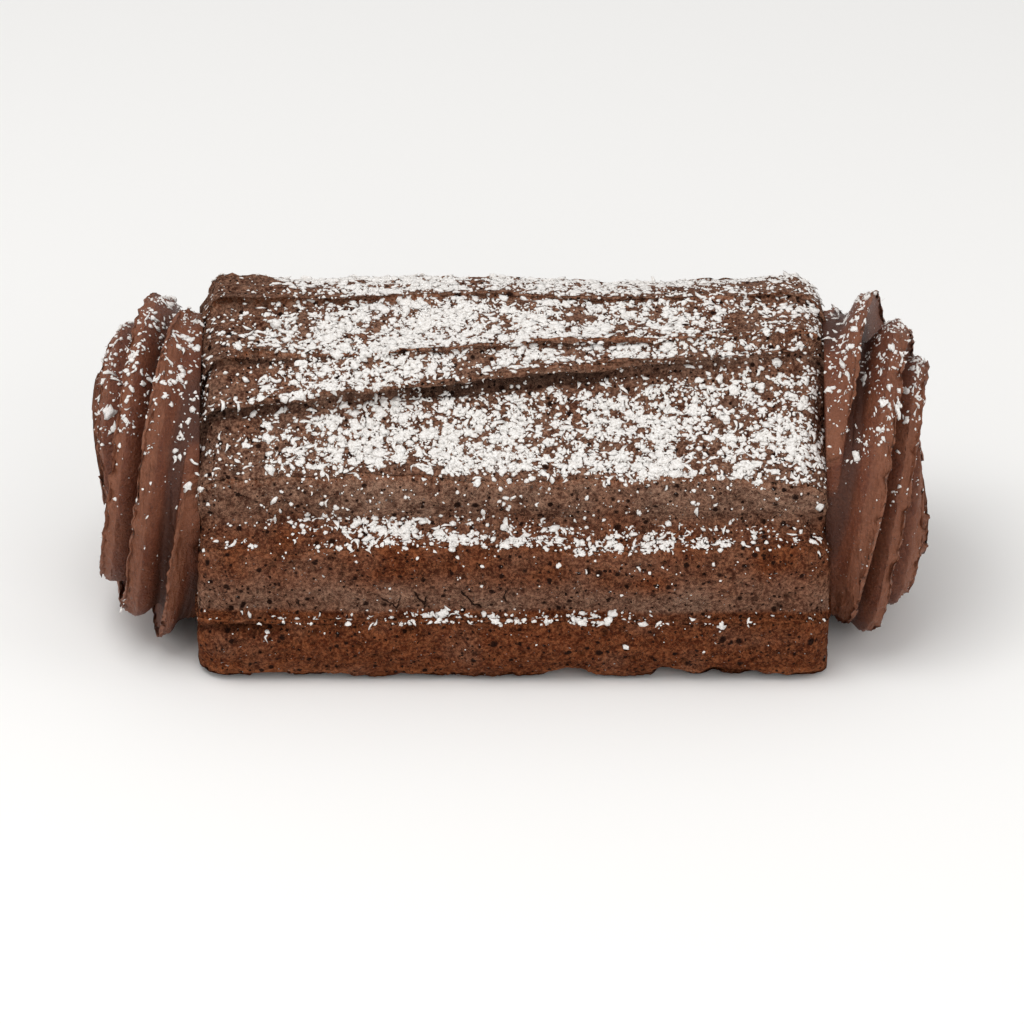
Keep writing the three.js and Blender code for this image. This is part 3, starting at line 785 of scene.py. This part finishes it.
def mould(subdivisions, uneven, spiky, flat, long=1.0):
    """One crumb about a millimetre across, as points and triangles: lumpy by uneven, sharp by spiky, flat
    times as high as wide, and curled the more the longer it is."""
    bpy.ops.mesh.primitive_ico_sphere_add(subdivisions=subdivisions, radius=0.5)
    crumb = bpy.context.object
    points = np.array([v.co for v in crumb.data.vertices])
    faces = np.array([f.vertices for f in crumb.data.polygons])
    bpy.data.objects.remove(crumb)
    drift = Vector(random.uniform(0, 50, 3))
    away = np.array([noise.noise(Vector(p) * LUMPINESS + drift) for p in points])
    reach = 1 + uneven * away + spiky * random.uniform(-1, 1, len(points))
    points = points * np.maximum(SHALLOWEST, reach)[:, None] * (long, 1 / long, flat)
    points[:, 1] += CURLINESS * (long - 1) * points[:, 0] ** 2
    return points, faces


def landing_places(piece, count, power, strays):
    """Random places where sugar lies on a piece, and the surface's normals there: more where it is thick, and
    a few stray ones anywhere but underneath, the more the higher up."""
    mesh = piece.data
    mesh.calc_loop_triangles()
    corners = np.zeros(len(mesh.loop_triangles) * 3, np.int32)
    mesh.loop_triangles.foreach_get("vertices", corners)
    corners = corners.reshape(-1, 3)
    places = np.zeros(len(mesh.vertices) * 3)
    mesh.vertices.foreach_get("co", places)
    lying = np.zeros(len(mesh.vertices))
    mesh.attributes["dust"].data.foreach_get("value", lying)
    a, b, c = (places.reshape(-1, 3)[corners[:, i]] for i in range(3))
    normal = np.cross(b - a, c - a)
    area = np.linalg.norm(normal, axis=1)
    clinging = (normal[:, 2] > STEEPEST * area) * np.interp(a[:, 2], (NO_STRAYS, ALL_STRAYS), (0, 1))
    weight = area * (lying[corners].mean(1) ** power + strays * clinging)
    chosen = random.choice(len(weight), count, p=weight / weight.sum())
    u, v = random.random((2, count, 1))
    u, v = np.where(u + v > 1, 1 - u, u), np.where(u + v > 1, 1 - v, v)
    a, b, c = a[chosen], b[chosen], c[chosen]
    return a + (b - a) * u + (c - a) * v, normal[chosen] / area[chosen, None]


def unit(vectors):
    """Each of some vectors at a length of 1."""
    return vectors / np.linalg.norm(vectors, axis=1, keepdims=True)


def scattered(name, moulds, places, normals, sizes, proud):
    """One mesh of many crumbs, each a turned, tilted and scaled copy of a mould. They lie on the surface,
    their middles above it by a share of their size."""
    all_points, all_faces, start = [], [], 0
    which = random.integers(0, len(moulds), len(places))
    turns = random.random(len(places)) * 2 * math.pi
    up = unit(normals + (0, 0, TO_LEVEL))
    side = unit(np.cross(up, np.stack((np.cos(turns), np.sin(turns), 0.1 + 0 * turns), -1)))
    long, wide = random.uniform(*STRETCH, (2, len(places), 1))
    size = sizes[:, None] * MM
    axes = np.stack((side * long * size, np.cross(up, side) * wide * size, up * size), 1)
    middles = places + up * size * proud
    for kind, (points, faces) in enumerate(moulds):
        chosen = which == kind
        made = np.einsum("vk,nkj->nvj", points, axes[chosen]) + middles[chosen, None]
        numbers = start + np.arange(chosen.sum())[:, None, None] * len(points)
        all_points.append(made.reshape(-1, 3))
        all_faces.append((faces + numbers).reshape(-1, 3))
        start += chosen.sum() * len(points)
    points = np.clip(np.concatenate(all_points), *cad_box)  # a crumb on an outermost edge is worn flat
    mesh = bpy.data.meshes.new(name)
    mesh.from_pydata(points.tolist(), [], np.concatenate(all_faces).tolist())
    mesh.shade_smooth()
    piece = bpy.data.objects.new(name, mesh)
    bpy.context.scene.collection.objects.link(piece)
    return piece


# Icing sugar: finely milled white sugar, damp enough to clump, fully matt.
SUGAR_LOW, SUGAR_HIGH = "#d6d0ca", "#f5f3f0"
icing_sugar, tree, where = new_material("icing_sugar_powder")
powder = add(tree, "TexNoise", {"Vector": where, "Scale": lumps_of(0.4), "Detail": 2.0})
colour = tinted(tree, linear(SUGAR_LOW), [(powder, 0.3, 0.7, linear(SUGAR_HIGH), 1.0)])
bump = add(tree, "Bump", {"Height": powder, "Distance": 0.12 * MM, "Strength": 0.5})
surface = {"Base Color": colour, "Roughness": 0.95, "IOR": 1.4, "Specular IOR Level": 0.1, "Normal": bump}
add(tree, "OutputMaterial", {"Surface": add(tree, "BsdfPrincipled", surface)})

crumbs = [mould(2, 1.1, 0.25, 0.5) for i in range(9)]
grains = [mould(1, 0.8, 0.35, 0.6) for i in range(9)]
flakes = [mould(1, 0.6, 0.5, 0.4, long) for long in (1, 1, 1.1, 1.2, 1.4, 1.6, 1.8, 2, 2.2)]
# power says how much a kind keeps to where the sugar is thick, strays how many lie elsewhere, sizes how wide
# they are, and proud how far they stand off the cream, as a share of their size.
SIFTED = [
    dict(name="crumbs", moulds=crumbs, count=1100, power=1.3, strays=0, sizes=(1.1, 2.2), proud=0.02),
    dict(name="flakes", moulds=flakes, count=8200, power=1, strays=0.0008, sizes=(0.8, 1.7), proud=0.08),
    dict(name="grains", moulds=grains, count=8600, power=0.9, strays=0.002, sizes=(0.5, 1.1), proud=0.1),
    dict(name="specks", moulds=grains, count=9600, power=0.7, strays=0.02, sizes=(0.3, 0.65), proud=0.12),
]
for kind in SIFTED:
    on_rosette = round(kind["count"] * ON_A_ROSETTE)
    on_coat = kind["count"] - len(rosettes) * on_rosette
    lying_on = [(coat, on_coat)] + [(rosette, on_rosette) for rosette in rosettes]
    landed = [landing_places(piece, count, kind["power"], kind["strays"]) for piece, count in lying_on]
    places, normals = (np.concatenate(part) for part in zip(*landed))
    least, most = kind["sizes"]
    sizes = least + (most - least) * random.random(len(places)) ** MOSTLY_SMALL
    sugar = scattered("sugar_" + kind["name"], kind["moulds"], places, normals, sizes, kind["proud"])
    sugar.data.materials.append(icing_sugar)
    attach(sugar, "root")

# ---- Floor and light ----------------------------------------------------------------------------------
# A plain pale studio floor that curves up all round into a low wall, open to an even white sky, with a large
# soft lamp overhead, a weaker one in front and one beyond each end.
FLOOR_WHITE, SKY_WHITE, SKY_STRENGTH = "#f4f3f1", "#ffffff", 0.6
FLOOR_RADIUS, FLOOR_SIDES, COVE_RADIUS, COVE_STEPS = 2.6, 96, 0.8, 10
UNDER_THE_CAKE = (0, 0, -0.0002)
bpy.ops.mesh.primitive_circle_add(
    vertices=FLOOR_SIDES, radius=FLOOR_RADIUS, fill_type="NGON", location=UNDER_THE_CAKE
)
floor = bpy.context.object
floor.name = "floor"
bpy.ops.object.mode_set(mode="EDIT")
bpy.ops.mesh.region_to_loop()
reached = FLOOR_RADIUS
for step in range(COVE_STEPS):
    before, after = (math.pi / 2 * (step + i) / COVE_STEPS for i in (0, 1))
    rise = COVE_RADIUS * (math.cos(before) - math.cos(after))
    wider = FLOOR_RADIUS + COVE_RADIUS * math.sin(after)
    bpy.ops.mesh.extrude_region_move(TRANSFORM_OT_translate={"value": (0, 0, rise)})
    bpy.ops.transform.resize(value=(wider / reached, wider / reached, 1))
    reached = wider
bpy.ops.object.mode_set(mode="OBJECT")
bpy.ops.object.shade_smooth()
painted, tree, where = new_material("matt_white_studio_paint")
surface = {"Base Color": linear(FLOOR_WHITE), "Roughness": 0.9}
add(tree, "OutputMaterial", {"Surface": add(tree, "BsdfPrincipled", surface)})
floor.data.materials.append(painted)

LAMPS = [
    dict(place=(-0.25, -0.25, 0.95), size=0.6, power=4.4),
    dict(place=(0.4, -1.0, 0.6), size=0.6, power=2.3),
    dict(place=(-1.1, -0.3, 0.4), size=0.6, power=2),
    dict(place=(1.1, -0.3, 0.4), size=0.6, power=2),
]
LAMPS_AIM = Vector((0, 0, 0.03))
for lamp in LAMPS:
    place = Vector(lamp["place"])
    bpy.ops.object.light_add(type="AREA", location=place)
    light = bpy.context.object
    light.rotation_euler = (LAMPS_AIM - place).to_track_quat("-Z", "Y").to_euler()
    light.data.size = lamp["size"]
    light.data.energy = lamp["power"]
room = bpy.data.worlds.new("room")
bpy.context.scene.world = room
room.use_nodes = True
sky = room.node_tree.nodes["Background"]
sky.inputs["Color"].default_value = linear(SKY_WHITE)
sky.inputs["Strength"].default_value = SKY_STRENGTH
bpy.context.scene.view_settings.view_transform = "Standard"
